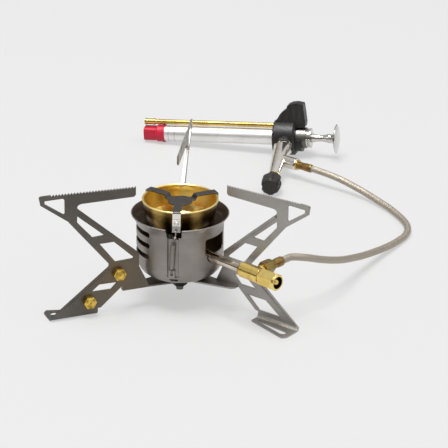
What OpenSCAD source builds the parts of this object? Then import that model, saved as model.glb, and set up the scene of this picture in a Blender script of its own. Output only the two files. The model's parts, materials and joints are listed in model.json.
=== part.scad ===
// Remote-fuel camping stove: a burner cup on three folding sheet legs, a braided fuel hose
// and a bottle pump with its control valve. Millimetres, +Z up. The origin is on the ground
// under the burner's axis.

/* [Burner cup] */
// Outer radius of the cup's straight wall
cup_r = 29.8; // [29:0.1:30.5]
// Outer radius of the flared rim
cup_rim_r = 33.5; // [32.5:0.1:34]
// Height of the rim above the ground
cup_rim_z = 63.3; // [62.5:0.1:64]
// Height of the cup's underside
cup_base_z = 19.3; // [19.3:0.1:19.5]
// Sheet thickness of the cup
cup_t = 0.7; // [0.5:0.05:0.9]

/* [Burner head] */
// Outer radius of the brass bell's rolled rim
bell_rim_r = 26.2; // [26:0.1:27]
// Height of the bell's rim
bell_rim_z = 73.3; // [72:0.1:74]
// Radius of the flame spreader's centre disc
spreader_disc_r = 8.5; // [8:0.1:10]
// Width of the spreader's three arms
arm_w = 5.6; // [4.5:0.1:6.5]

/* [Legs] */
// Sheet thickness of the legs
leg_t = 1.2; // [1:0.05:1.2]
// Sideways offset of each leg sheet from the burner's axis
leg_offset = 6.95; // [6.5:0.05:7.5]
// Height of the pot rest above the ground
pot_z = 92.4; // [91:0.1:94]
// Length of the toothed part of each pot rest
tooth_run = 60; // [52:4:60]
// Depth of the pot-rest teeth
tooth_depth = 1.4; // [0.8:0.1:1.6]
// Width of the spare jets across their flats
spare_jet_af = 8; // [7:0.5:9]

/* [Fuel line] */
// Height of the fuel pipe's centreline
pipe_z = 39.5; // [39:0.1:40]
// Outer radius of the pipe's sleeve
sleeve_r = 3.4; // [3:0.1:3.5]
// Radius of the fuel pipe
pipe_r = 2; // [1.6:0.1:2.2]
// Radius of the braided hose
hose_r = 2.5; // [2.2:0.1:2.6]

/* [Pump] */
// Outer radius of the pump barrel
barrel_r = 6.3; // [6:0.1:6.6]
// Bore radius of the pump barrel
barrel_bore_r = 5.4; // [5.1:0.05:5.5]
// Radius of the housing's mouth, which screws over the bottle's neck
mouth_r = 12.4; // [12.2:0.1:12.6]
// Radius of the plunger's knob
plunger_knob_r = 11.4; // [10:0.1:11.6]

/* [Hidden] */
$fn = 64;

// ---- directions around the burner's axis, in degrees ----
left_leg_az = -157.2;
right_leg_az = -37.2;
back_leg_az = 82.8;
pipe_az = -43.2;
clip_az = -94;

// ---- burner stack heights ----
post_z0 = cup_base_z + cup_t;
block_z0 = 33.5;
shoulder_z = 43.6;
jet_seat_z = 45;
throat_z1 = 52;
bell_t = 0.8;
arm_t = 0.8;
arm_z = bell_rim_z + 0.5;

// ---- leg sheet, as distance from the axis and height ----
foot_r0 = 62.6;
foot_r1 = 96.4;
strut_end = 92.8;
foot_bend = 4;
bolt_r = 2.5;
pivot_bore_r = 2.55;
tab_r = 9.5;
left_tab_z = cup_base_z - 4.35;
back_tab_z = cup_base_z - 3.1;
right_tab_z = cup_base_z - 1.85;
bracket_z = right_tab_z;

// ---- fuel line stations, as distance from the axis ----
sleeve_end = 57.5;
block_end = 76.5;
cap_end = 90.5;
port_at = 68;
nut_y0 = 9.5;
ferrule_y0 = 18;
ferrule_y1 = 28.6;

// ---- the pump's own frame ----
pump_at = [-25.4, 294, 7.2];
pump_yaw = -13;
pump_pitch = -3.75;
valve_at = [107.5, -14, -1.2];
valve_yaw = 3.8;
valve_droop = 4.2;
outlet_at = 27;
outlet_turn = 60;

// ---------------------------------------------------------------- helpers
module around(az) { rotate([0, 0, az]) children(); }

// Lays a part drawn along +Z so that it points along +X.
module along_x() { rotate([0, 90, 0]) children(); }

module tube(r, bore, h) {
    difference() {
        cylinder(r = r, h = h);
        translate([0, 0, -1]) cylinder(r = bore, h = h + 2);
    }
}

module hex_bar(af, h) { cylinder(r = af / sqrt(3), h = h, $fn = 6); }

// Outline of a grip: a disc with lobes round it.
module lobed(r, lobe_at, lobe_r, n) {
    circle(r = r);
    for (i = [0 : n - 1]) rotate(180 / n + i * 360 / n) translate([lobe_at, 0]) circle(r = lobe_r, $fn = 32);
}

// Points of an arc, used by the turned and bent profiles.
function arc(c, r, a0, a1, n = 8) =
    [for (i = [0 : n]) let (a = a0 + (a1 - a0) * i / n) [c[0] + r * cos(a), c[1] + r * sin(a)]];

// ---------------------------------------------------------------- burner cup
cup_corner = 13;
flare_z = 55.5;
cup_centre = [cup_r - cup_corner, cup_base_z + cup_corner];
flare_len = cup_rim_z - flare_z;
flare_out = cup_rim_r - cup_r;

// Outer side of the flare, easing out from the straight wall.
function flare(n = 6) = [for (i = [1 : n]) let (u = i / n)
    [cup_r + flare_out * u * u, flare_z + flare_len * (0.85 * u + 0.15 * u * u)]];

function cup_side(n) = concat(arc(cup_centre, cup_corner, -90, 0), flare(n));

module cup_profile() {
    n = 6;
    polygon(concat([[0, cup_base_z]], cup_side(n),
        [for (i = [n : -1 : 1]) flare(n)[i - 1] + [-cup_t, 0.25]],
        arc(cup_centre, cup_corner - cup_t, 0, -90), [[0, cup_base_z + cup_t]]));
}

// A sector of a ring, between two directions and two heights.
module ring_sector(a0, a1, z0, z1, r0 = 26, r1 = 36) {
    around(a0) rotate_extrude(angle = a1 - a0) translate([r0, z0]) square([r1 - r0, z1 - z0]);
}

module radial_hole(az, z, r) {
    around(az) translate([24, 0, z]) along_x() cylinder(r = r, h = 14, $fn = 32);
}

// The straight sides of a round-ended opening stay this share of the end's radius apart, so
// that they meet the ends at a small angle.
flank = 0.97;
slot_z = [38.7, 46.9, 55];
slot_r = 1.9;
slot_spans = [[-184, -136], [72, 120]];
window = [-54, -11];
window_z = [41, 53.2];
window_corner = 2;
cradle_r = 4;
recess_az = [-105.5, -90.5];
recess_z = [27.5, 56.6];
recess_depth = 1.5;
notch_az = [-106.4, -87];
tongue_az = -99.7;
tongue_z = [26.8, 33];
drain_az = [-100.4, -94.6];
drain_z = 24.9;
drain_r = 1.6;

// A round-ended opening along the wall, between two directions.
module wall_slot(az, z, r) {
    ring_sector(az[0], az[1], z - r * flank, z + r * flank);
    for (a = az) radial_hole(a, z, r);
}

module window_cut() {
    inset = window_corner / cup_r * 180 / PI;
    lip = window_corner * (1 - flank);
    lip_az = inset * (1 - flank);
    ring_sector(window[0] + lip_az, window[1] - lip_az, window_z[0] + window_corner,
        window_z[1] - window_corner);
    ring_sector(window[0] + inset, window[1] - inset, window_z[0] + lip, window_z[1] - lip);
    for (a = [window[0] + inset, window[1] - inset])
        for (z = [window_z[0] + window_corner, window_z[1] - window_corner])
            radial_hole(a, z, window_corner);
    radial_hole(pipe_az, pipe_z, cradle_r);
}

module windshield_cup() {
    color([0.56, 0.54, 0.52]) {
        difference() {
            rotate_extrude($fn = 96) cup_profile();
            translate([0, 0, cup_base_z - 1]) cylinder(r = pivot_bore_r, h = 4);
            for (s = slot_spans) for (z = slot_z) wall_slot(s, z, slot_r);
            window_cut();
            ring_sector(recess_az[0], recess_az[1], recess_z[0], cup_rim_z + 1);
            ring_sector(notch_az[0], notch_az[1], recess_z[1], cup_rim_z + 1);
            wall_slot(drain_az, drain_z, drain_r);
        }
        spring_recess();
    }
}

// Pressed channel that the retaining spring lies in, with the pierced tongue at its foot.
module spring_recess() {
    r_in = cup_r - cup_t - recess_depth;
    z_top = flare_z - 0.3;
    difference() {
        ring_sector(recess_az[0] - 1.2, recess_az[1] + 1.2, recess_z[0] - 1.2, z_top,
            r_in, cup_r - 0.25);
        ring_sector(recess_az[0] + 0.2, recess_az[1] - 0.2, recess_z[0] - 0.3, z_top + 1,
            r_in + cup_t, cup_r + 1);
    }
    around(tongue_az) difference() {
        translate([cup_r - 0.5, -2.2, tongue_z[0]]) cube([0.9, 4.4, tongue_z[1] - tongue_z[0]]);
        translate([cup_r - 2, 0, hook_z]) along_x() cylinder(r = 0.9, h = 4, $fn = 24);
    }
}

// ---------------------------------------------------------------- pivot stack
module pivot_bolt() {
    color([0.62, 0.6, 0.57]) {
        translate([0, 0, post_z0]) hex_bar(8, 3);
        translate([0, 0, 6.4]) cylinder(r = bolt_r, h = post_z0 - 6.4 + 1);
    }
}

module pivot_washer() {
    color("silver") translate([0, 0, right_tab_z + leg_t + 0.05])
        tube(7.5, pivot_bore_r, cup_base_z - right_tab_z - leg_t - 0.05);
}

module pivot_lower_washer() {
    color("silver") translate([0, 0, left_tab_z - 0.75]) tube(5.4, pivot_bore_r, 0.7);
}

module pivot_nut() {
    color([0.3, 0.29, 0.28]) translate([0, 0, left_tab_z - 0.75 - 4.4]) difference() {
        hex_bar(9, 4.4);
        translate([0, 0, -1]) cylinder(r = bolt_r, h = 7);
    }
}

// ---------------------------------------------------------------- burner head
module burner_post() {
    color([0.5, 0.48, 0.46]) translate([0, 0, post_z0]) difference() {
        union() {
            cylinder(r = 9, h = 1.4);
            cylinder(r = 6.2, h = block_z0 - post_z0);
        }
        translate([0, 0, -1]) cylinder(r = 5.2, h = 5);
    }
}

module jet_block() {
    color([0.8, 0.62, 0.24]) difference() {
        union() {
            translate([0, 0, block_z0]) cylinder(r = 9.4, h = shoulder_z - block_z0);
            translate([0, 0, shoulder_z]) cylinder(r = 6.5, h = jet_seat_z - shoulder_z);
        }
        translate([0, 0, jet_seat_z - 4]) cylinder(r = 2.5, h = 5);
        around(pipe_az) translate([4, 0, pipe_z]) along_x() cylinder(r = pipe_r, h = 8);
    }
}

module jet() {
    color([0.85, 0.66, 0.26]) difference() {
        union() {
            translate([0, 0, jet_seat_z - 3.6]) cylinder(r = 2.5, h = 3.7);
            translate([0, 0, jet_seat_z]) hex_bar(8, 2.8);
            translate([0, 0, jet_seat_z + 2.8]) cylinder(r1 = 3, r2 = 1.6, h = 1.4);
        }
        translate([0, 0, jet_seat_z - 5]) cylinder(r = 0.9, h = 7.5, $fn = 24);
        translate([0, 0, jet_seat_z]) cylinder(r = 0.35, h = 6, $fn = 24);
    }
}

module burner_throat() {
    color([0.55, 0.52, 0.48]) translate([0, 0, shoulder_z]) difference() {
        tube(9.4, 8.6, throat_z1 - shoulder_z);
        for (a = [0, 60, 120]) around(a) translate([-12, -2, 1.6]) cube([24, 4, 4.6]);
    }
}

// Outer side of the bell from its floor to the rim.
bell_floor_r = 12;
function bell_side() = [[bell_floor_r, throat_z1], [15.5, throat_z1 + 0.3], [20.4, throat_z1 + 3],
    [23.2, 60], [24.6, 65.5], [25.3, 70], [bell_rim_r - 0.6, bell_rim_z]];

module burner_bell() {
    side = bell_side();
    n = len(side) - 1;
    color([0.83, 0.64, 0.25]) rotate_extrude($fn = 96) {
        polygon(concat([[8.6, throat_z1]], side,
            [for (i = [n : -1 : 3]) side[i] + [-bell_t, 0.1]],
            [side[2] + [-0.6, 0.7], side[1] + [-0.2, bell_t], side[0] + [0, bell_t],
                [8.6, throat_z1 + bell_t]]));
        translate([bell_rim_r - 0.6, bell_rim_z - 0.1]) circle(r = 0.6, $fn = 24);
    }
}

module flame_plate() {
    color([0.4, 0.37, 0.34]) translate([0, 0, throat_z1 + bell_t]) difference() {
        cylinder(r = 11.5, h = 0.6);
        for (i = [0 : 11]) around(i * 30) translate([7, 0, -1]) cylinder(r = 0.9, h = 3, $fn = 20);
        for (i = [0 : 5]) around(i * 60) translate([3.6, 0, -1]) cylinder(r = 0.8, h = 3, $fn = 20);
        translate([0, 0, -1]) cylinder(r = 0.9, h = 3, $fn = 20);
    }
}

disc_z = arm_z - 2.6;
lug_r = bell_rim_r + 0.2;
lug_face = lug_r + 0.9;
side_lug = 4;
front_lug = 9.4;

// One arm: up from the centre disc, level over the bell's rim, then down outside it.
module spreader_arm(lug) {
    points = [[7.5, disc_z], [10, disc_z], [11.8, arm_z], [lug_r, arm_z], [lug_r, arm_z - lug],
        [lug_face, arm_z - lug], [lug_face, arm_z + arm_t - 0.5], [lug_face - 0.5, arm_z + arm_t],
        [11.4, arm_z + arm_t], [9.6, disc_z + arm_t], [7.5, disc_z + arm_t]];
    translate([0, arm_w / 2, 0]) rotate([90, 0, 0]) linear_extrude(arm_w) polygon(points);
}

module flame_spreader() {
    color([0.36, 0.34, 0.32]) difference() {
        union() {
            translate([0, 0, disc_z]) cylinder(r = spreader_disc_r, h = arm_t);
            for (a = [[25.5, side_lug], [145, side_lug], [clip_az, front_lug]])
                around(a[0]) spreader_arm(a[1]);
        }
        lug_hole(0.8);
    }
}

// Polished strip riveted outside the front lug, running down to the spring's eye.
strap_t = 0.7;
strap_z = [61, 69];
rivet_z = 66.3;
eye_z = 62.3;

module lug_hole(r) {
    around(clip_az) translate([lug_r - 0.5, 0, rivet_z]) along_x() cylinder(r = r, h = 4, $fn = 24);
}

module retaining_strap() {
    color([0.75, 0.72, 0.68]) difference() {
        around(clip_az) translate([0, arm_w / 2, 0]) rotate([90, 0, 0]) linear_extrude(arm_w)
            polygon([[lug_face, strap_z[1]], [lug_face, arm_z - front_lug],
                [29.4, strap_z[0] + 0.2], [30, strap_z[0]],
                [lug_face + strap_t, arm_z - front_lug + 0.2], [lug_face + strap_t, strap_z[1]]]);
        lug_hole(0.8);
        around(clip_az) translate([27, 0, eye_z]) along_x() cylinder(r = 0.8, h = 6, $fn = 24);
    }
}

module strap_rivet() {
    color([0.5, 0.48, 0.45]) around(clip_az) translate([lug_face + strap_t, 0, rivet_z]) along_x() {
        cylinder(r1 = 1.5, r2 = 1.1, h = 0.45);
        translate([0, 0, -1.5]) cylinder(r = 0.8, h = 1.6);
    }
}

// Tension spring: a closed coil drawn as a tube, with a wire hook at each end.
spring_r = 1.75;
spring_az = [-97.6, -99.7];
spring_z = [52, 34.5];
spring_at = cup_r + 0.4;
hook_z = 30;

module spring_wire(points, r = 0.4) {
    for (i = [0 : len(points) - 2]) {
        d = points[i + 1] - points[i];
        h = norm(d);
        translate(points[i]) rotate([0, acos(d[2] / h), atan2(d[1], d[0])])
            cylinder(r = r, h = h, $fn = 24);
        translate(points[i]) sphere(r = r * 1.06, $fn = 24);
    }
    translate(points[len(points) - 1]) sphere(r = r * 1.06, $fn = 24);
}

function on_wall(az, r, z) = [r * cos(az), r * sin(az), z];

module retaining_spring() {
    top = on_wall(spring_az[0], spring_at, spring_z[0]);
    bottom = on_wall(spring_az[1], spring_at, spring_z[1]);
    d = top - bottom;
    loop = on_wall(-95, cup_r + 1.4, 57.6);
    color([0.6, 0.57, 0.52]) {
        translate(bottom) rotate([0, acos(d[2] / norm(d)), atan2(d[1], d[0])])
            cylinder(r = spring_r, h = norm(d), $fn = 32);
        spring_wire([top, loop, on_wall(clip_az, cup_r + 0.9, eye_z - 0.5),
            on_wall(clip_az, cup_r - 2.4, eye_z)]);
        translate(loop) sphere(r = 1, $fn = 32);
        spring_wire([bottom, on_wall(tongue_az, cup_r + 1.3, hook_z + 0.6),
            on_wall(tongue_az, cup_r - 0.6, hook_z)]);
    }
}

// ---------------------------------------------------------------- legs
// Sheet outline in the leg's plane: x is the distance from the burner's axis, y the height.
teeth = 28;
rest_drop = 2.5;
rest_inner = 34.9;
rest_smooth = rest_inner + tooth_run;
tooth_pitch = tooth_run / teeth;

function rest_edge() = concat([[103, pot_z - 1.1], [102.7, pot_z - 0.4], [102, pot_z],
    [rest_smooth, pot_z]],
    [for (i = [teeth - 1 : -1 : 0], k = [0, 1])
        let (x = rest_inner + i * tooth_pitch, z = pot_z - rest_drop * (1 - i / teeth))
        k == 0 ? [x + tooth_pitch * 0.7, z - tooth_depth] : [x + 0.01, z]]);

module leg_outline() {
    polygon(concat(rest_edge(), [
        [rest_inner, 84.2], [36.2, 82.9], [73.8, 83.2], [75.8, 82.5], [76.6, 81.2], [76.1, 79.9],
        [32.7, 41.4], [32.7, 31.7], [29.9, 25.6], [26, bracket_z], [44.6, bracket_z],
        [45.4, 18.4], [foot_r0 - 2, 5.2], [strut_end, 5.2], [54.6, 34.4], [54.4, 36.4],
        [83.4, 72], [102.1, 86]]));
}

// Windows that every leg has in its upper half.
module upper_windows() {
    polygon([[99.3, 88.9], [99.3, 86.8], [86, 77.4], [85.2, 78], [85.2, 87.6], [86.6, 88.9]]);
    polygon([[76.6, 74.6], [57.5, 58], [65.9, 57.7], [76.8, 70.4]]);
    polygon([[60.9, 52.2], [50.8, 52.2], [36.6, 38.6], [37.2, 37.8], [49.7, 37.4]]);
}

// Windows of a plain lower leg, and the single one between the spare jets.
module plain_windows() {
    polygon([[41.5, 27.2], [53.2, 26.6], [60.4, 20.8], [47.6, 20.8]]);
    polygon([[53.6, 15], [68.7, 14.9], [81.2, 6], [63.4, 6]]);
}

module jet_window() {
    polygon([[48.4, 22.2], [61.6, 22.4], [67.2, 17.8], [53, 17.6]]);
}

spare_jets = [[47.6, 28.6], [69, 11.2]];
jet_hole_r = 3;

// The foot: the sheet bends round and runs back under the leg, with a long slot in it.
module leg_foot() {
    y0 = -leg_t / 2;
    bend_c = [y0 - foot_bend + leg_t, foot_bend];
    difference() {
        translate([foot_r0, 0, 0]) rotate([90, 0, 90]) linear_extrude(foot_r1 - foot_r0) {
            translate([y0, foot_bend]) square([leg_t, 5.2 - foot_bend]);
            difference() {
                translate(bend_c) circle(r = foot_bend, $fn = 48);
                translate(bend_c) circle(r = foot_bend - leg_t, $fn = 48);
                translate(bend_c - [6, 0]) square([12, 6]);
                translate(bend_c - [6, 6]) square([6, 12]);
            }
            translate([-16.5, 0]) square([16.5 + bend_c[0], leg_t]);
        }
        translate([0, 0, -1]) linear_extrude(4) {
            polygon([[foot_r0 - 1, -7.6], [foot_r1 - 3, -16.6], [foot_r0 - 1, -20]]);
            polygon([[foot_r1 - 3.5, -18], [foot_r1 + 1, -18], [foot_r1 + 1, -12.6]]);
        }
        translate([0, 0, -1]) linear_extrude(4)
            polygon([[foot_r0 + 3.2, -6.2], [foot_r0 + 4.2, -5.2], [foot_r1 - 6, -7.6],
                [foot_r1 - 3, -9.2], [foot_r1 - 3.6, -12], [foot_r1 - 6, -13.2]]);
        translate([strut_end, -3, 5.2]) rotate([0, 36.6, 0]) translate([-2, 0, 0]) cube([12, 8, 8]);
    }
}

// Flat tab that carries the bracket's lower edge in to the pivot.
module leg_tab(z, bore) {
    translate([0, 0, z]) linear_extrude(leg_t) difference() {
        union() {
            circle(r = tab_r);
            polygon([[-1, tab_r - 0.6], [3, tab_r - 0.4], [24, leg_offset + leg_t / 2],
                [44.6, leg_offset + leg_t / 2], [44.6, 4.2], [42.6, 1.6], [17.8, -5.4], [6, -7.2]]);
        }
        circle(r = bore);
    }
}

module leg(az, tab_z, with_jets, bore = pivot_bore_r) {
    rib_len = 55;
    strut_angle = 41.3;
    lower_angle = 37.4;
    around(az) {
        translate([0, leg_offset, 0]) {
            difference() {
                translate([0, leg_t / 2, 0]) rotate([90, 0, 0]) linear_extrude(leg_t) {
                    difference() {
                        leg_outline();
                        upper_windows();
                        if (with_jets) jet_window();
                        else plain_windows();
                    }
                    translate([26, tab_z]) square([18.6, bracket_z - tab_z + 0.1]);
                }
                if (with_jets) for (p = spare_jets)
                    translate([p[0], 2, p[1]]) rotate([90, 0, 0]) cylinder(r = jet_hole_r, h = 4);
            }
            // stiffening ribs pressed along the edges of the long and the lower strut
            translate([35.1, -leg_t / 2, 41.3]) rotate([0, -strut_angle, 0])
                translate([0, -1, 0]) cube([rib_len, 1.1, 1.6]);
            translate([36, leg_t / 2 - 0.1, 40.7]) rotate([0, -strut_angle, 0])
                cube([rib_len - 3, 0.45, 0.9]);
            for (y = [-leg_t / 2 - 0.35, leg_t / 2 - 0.1])
                translate([53.6, y, 32.2]) rotate([0, lower_angle, 0]) cube([40, 0.45, 0.9]);
            leg_foot();
        }
        leg_tab(tab_z, bore);
    }
}

leg_dark = [0.36, 0.34, 0.31];
leg_pale = [0.56, 0.54, 0.51];

module left_leg() { color(leg_dark) leg(left_leg_az, left_tab_z, true); }
module back_leg() { color(leg_pale) leg(back_leg_az, back_tab_z, false, bolt_r); }
module right_leg() { color(leg_pale) leg(right_leg_az, right_tab_z, false); }

// A spare jet: hex head on the outer face, threaded shank through the sheet.
module spare_jet(p) {
    around(left_leg_az) translate([p[0], leg_offset, p[1]]) rotate([-90, 0, 0]) difference() {
        union() {
            translate([0, 0, leg_t / 2]) hex_bar(spare_jet_af, 3.4);
            translate([0, 0, leg_t / 2 + 3.4]) cylinder(r1 = 3.4, r2 = 2.6, h = 0.7);
            translate([0, 0, -3.6]) cylinder(r = jet_hole_r, h = 3.6 + leg_t / 2 + 0.1);
        }
        translate([0, 0, -4]) cylinder(r = 1, h = 7, $fn = 24);
        translate([0, 0, 2]) cylinder(r = 0.4, h = 4, $fn = 24);
    }
}

module spare_jet_upper() { color([0.83, 0.62, 0.2]) spare_jet(spare_jets[0]); }
module spare_jet_lower() { color([0.83, 0.62, 0.2]) spare_jet(spare_jets[1]); }

// ---------------------------------------------------------------- fuel line at the stove
// Parts on the fuel line are drawn along +X from the burner's axis.
module on_line(x) { around(pipe_az) translate([x, 0, pipe_z]) along_x() children(); }

module fuel_pipe() {
    color([0.72, 0.62, 0.42]) on_line(4) tube(pipe_r, 1.2, sleeve_end + 2 - 4);
}

module pipe_sleeve() {
    color([0.78, 0.74, 0.68]) on_line(22) tube(sleeve_r, pipe_r, sleeve_end - 22);
}

module connector_block() {
    body_r = 5.4;
    color([0.86, 0.7, 0.3]) difference() {
        union() {
            on_line(sleeve_end) cylinder(r1 = 4.3, r2 = body_r, h = 1.4);
            on_line(sleeve_end + 1.4) cylinder(r = body_r, h = block_end - sleeve_end - 2.4);
            on_line(block_end - 1) cylinder(r = 4.2, h = 1);
            on_port(0) cylinder(r = 3.2, h = nut_y0);
        }
        on_line(sleeve_end - 1) cylinder(r = pipe_r, h = 3);
        on_line(block_end - 5) cylinder(r = 2.2, h = 6);
    }
}

module end_cap_nut() {
    color([0.88, 0.72, 0.3]) on_line(block_end) difference() {
        intersection() {
            hex_bar(11, cap_end - block_end);
            union() {
                cylinder(r = 7, h = cap_end - block_end - 1.6);
                translate([0, 0, cap_end - block_end - 1.6]) cylinder(r1 = 6.2, r2 = 5.2, h = 1.6);
            }
        }
        translate([0, 0, cap_end - block_end - 4.4]) cylinder(r = 4.2, h = 5);
        translate([0, 0, -1]) cylinder(r = 2.2, h = 20);
    }
}

module cap_plug() {
    color([0.8, 0.62, 0.25]) on_line(block_end - 5) union() {
        cylinder(r = 2.2, h = cap_end - block_end + 3.4);
        translate([0, 0, cap_end - block_end + 3.4]) cylinder(r1 = 2.2, r2 = 1.5, h = 0.8);
    }
}

// Parts on the side port are drawn along the port's own axis.
module on_port(y) {
    around(pipe_az) translate([port_at, y, pipe_z]) rotate([-90, 0, 0]) children();
}

module union_nut() {
    color([0.55, 0.42, 0.2]) on_port(nut_y0) difference() {
        intersection() {
            hex_bar(8.6, ferrule_y0 - nut_y0);
            cylinder(r1 = 5.6, r2 = 4.7, h = ferrule_y0 - nut_y0);
        }
        translate([0, 0, -1]) cylinder(r = 1.4, h = 12);
    }
}

// A crimped sleeve on the hose's end, slightly wider where the crimp ends.
module ferrule(r, h) {
    cylinder(r = r, h = h * 0.34);
    translate([0, 0, h * 0.34]) cylinder(r1 = r, r2 = r * 1.09, h = h * 0.16);
    translate([0, 0, h * 0.5]) cylinder(r = r * 1.09, h = h * 0.42);
    translate([0, 0, h * 0.92]) cylinder(r1 = r * 1.09, r2 = r * 0.98, h = h * 0.08);
}

module stove_ferrule() {
    color([0.5, 0.36, 0.18]) on_port(ferrule_y0) ferrule(3.1, ferrule_y1 - ferrule_y0);
}

// ---------------------------------------------------------------- hose
// Points along the hose from the stove's ferrule to the valve's, set by eye.
hose_route = [[76.5, -18, 39], [86, -13.4, 36.6], [95.4, -5.2, 31.8], [104, 6.4, 26.2],
    [112, 19.2, 20.8], [119.5, 33, 16], [127, 46.4, 11.8], [134.9, 59.8, 8.4],
    [142.6, 72.4, 5.8], [149.8, 83.8, 4], [156.2, 94.4, 3], [161.4, 104, 2.7],
    [164.2, 114, 2.7], [164.2, 124.4, 2.7], [161.8, 134.5, 2.7], [157.8, 145, 2.8],
    [152.2, 156.2, 3.2], [145, 166.9, 4], [137.1, 177.3, 5.3], [128.6, 185.4, 7.2],
    [120, 192.8, 9.2], [110.8, 199.2, 10.9]];
hose_sides = 10;

// The valve's end of the hose, carried out to world axes so that the hose meets its ferrule.
function turn_x(v, a) = [v[0], v[1] * cos(a) - v[2] * sin(a), v[1] * sin(a) + v[2] * cos(a)];
function turn_y(v, a) = [v[0] * cos(a) + v[2] * sin(a), v[1], v[2] * cos(a) - v[0] * sin(a)];
function turn_z(v, a) = [v[0] * cos(a) - v[1] * sin(a), v[0] * sin(a) + v[1] * cos(a), v[2]];
function pump_turn(v) = turn_z(turn_y(v, pump_pitch), pump_yaw);
function valve_turn(v) = turn_z(turn_x(turn_x(v, 90), valve_droop), valve_yaw);
function outlet_point(d) = pump_at + pump_turn(valve_at
    + valve_turn([0, 0, outlet_at] + d * [sin(outlet_turn), 0, cos(outlet_turn)]));

function stove_port_point(y) =
    [port_at * cos(pipe_az) - y * sin(pipe_az), port_at * sin(pipe_az) + y * cos(pipe_az), pipe_z];

neck_x = 18;
outlet_ferrule_x0 = 20.1;
outlet_ferrule_x1 = 31.9;

function hose_points() = concat([stove_port_point(ferrule_y1), stove_port_point(ferrule_y1 + 4)],
    hose_route, [outlet_point(outlet_ferrule_x1 + 4), outlet_point(outlet_ferrule_x1)]);

function unit(v) = v / norm(v);
function heading(p, i) = unit(p[min(i + 1, len(p) - 1)] - p[max(i - 1, 0)]);

function hose_ring(p, i) =
    let (t = heading(p, i), side = unit(cross(t, [0, 0, 1])), up = cross(side, t))
    [for (k = [0 : hose_sides - 1]) let (a = 360 * k / hose_sides)
        p[i] + hose_r * (cos(a) * side + sin(a) * up)];

module hose() {
    p = hose_points();
    n = hose_sides;
    last = len(p) - 1;
    points = [for (i = [0 : last]) each hose_ring(p, i)];
    sides = [for (i = [0 : last - 1], k = [0 : n - 1]) each
        let (a = i * n + k, b = i * n + (k + 1) % n) [[a, b, a + n], [b, b + n, a + n]]];
    caps = [[for (k = [n - 1 : -1 : 0]) k], [for (k = [0 : n - 1]) last * n + k]];
    color([0.6, 0.56, 0.5]) polyhedron(points = points, faces = concat(sides, caps));
}

// ---------------------------------------------------------------- valve at the pump
module in_pump() { translate(pump_at) rotate([0, 0, pump_yaw]) rotate([0, pump_pitch, 0]) children(); }

// A part of the pump drawn along +Z, laid along the barrel with its start at x.
module on_barrel(x) { in_pump() translate([x, 0, 0]) along_x() children(); }

// A part of the valve drawn along +Z, pointing out of the pump's side.
module on_valve(z) {
    in_pump() translate(valve_at) rotate([0, 0, valve_yaw]) rotate([valve_droop, 0, 0])
        rotate([90, 0, 0]) translate([0, 0, z]) children();
}

module on_outlet(x) {
    on_valve(outlet_at) rotate([0, outlet_turn, 0]) translate([0, 0, x]) children();
}

module valve_ferrule() {
    color([0.6, 0.42, 0.18]) on_outlet(outlet_ferrule_x0)
        ferrule(2.85, outlet_ferrule_x1 - outlet_ferrule_x0);
}

neck_r = 4.2;
ring_z = 3;
cone_z = 8.8;
cone_r = 7;
outlet_r = 4.6;
gland_z = 56.6;
knob_z0 = 60;
knob_len = 16.5;
spindle_r = 1.9;

module valve_stud() {
    color([0.8, 0.78, 0.74]) on_valve(-4) cylinder(r = neck_r, h = ring_z + 5.6);
}

module coupling_ring() {
    lobes = 8;
    color([0.8, 0.77, 0.72]) on_valve(ring_z) difference() {
        linear_extrude(5.4) lobed(6.8, 6, 1.4, lobes);
        translate([0, 0, -1]) cylinder(r = neck_r + 0.06, h = 8);
    }
}

module valve_body() {
    color([0.8, 0.77, 0.72]) difference() {
        union() {
            on_valve(ring_z + 1.6) cylinder(r = neck_r, h = cone_z - ring_z - 1);
            on_valve(cone_z) cylinder(r1 = cone_r, r2 = neck_r, h = gland_z - cone_z);
            on_outlet(0) cylinder(r = outlet_r, h = neck_x - 1);
            on_outlet(neck_x - 1) cylinder(r1 = outlet_r, r2 = outlet_r - 0.4, h = 1);
        }
        on_valve(32) cylinder(r = spindle_r + 0.05, h = gland_z - 31);
    }
}

module valve_neck() {
    color([0.8, 0.62, 0.24]) on_outlet(neck_x) {
        cylinder(r = 3.7, h = 1.2);
        cylinder(r = 2.3, h = outlet_ferrule_x0 - neck_x);
    }
}

module valve_gland() {
    color([0.8, 0.62, 0.28]) on_valve(gland_z) difference() {
        union() {
            cylinder(r = 4.5, h = 1.2);
            cylinder(r = 3.9, h = knob_z0 - gland_z - 0.6);
        }
        translate([0, 0, -1]) cylinder(r = spindle_r + 0.05, h = 14);
    }
}

module valve_spindle() {
    color([0.75, 0.72, 0.68]) on_valve(33) cylinder(r = spindle_r, h = knob_z0 + 10 - 33);
}

// A lobed grip that swells from the gland and narrows again towards its end.
module valve_knob() {
    lobes = 6;
    color([0.12, 0.11, 0.11]) on_valve(knob_z0) difference() {
        intersection() {
            linear_extrude(knob_len) lobed(6.1, 5.6, 2.1, lobes);
            rotate_extrude() polygon([[0, 0], [5, 0], [7.9, 4.6], [7.9, 8.6], [6.9, knob_len - 1.2],
                [5.6, knob_len], [0, knob_len]]);
        }
        translate([0, 0, -1]) cylinder(r = spindle_r, h = 11);
    }
}

// ---------------------------------------------------------------- pump
housing_r = 13.8;
housing_x0 = 97.5;
housing_x1 = 115;
mouth_floor = 102.5;
rod_r = 2.2;
rod_bore_r = 2.28;
collar_r = 8.2;
collar_end = 123;
cap_rim_r = 7.1;

// The fin that stands up from the housing, as distance along the barrel and height over it.
fin_t = 9;

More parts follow.
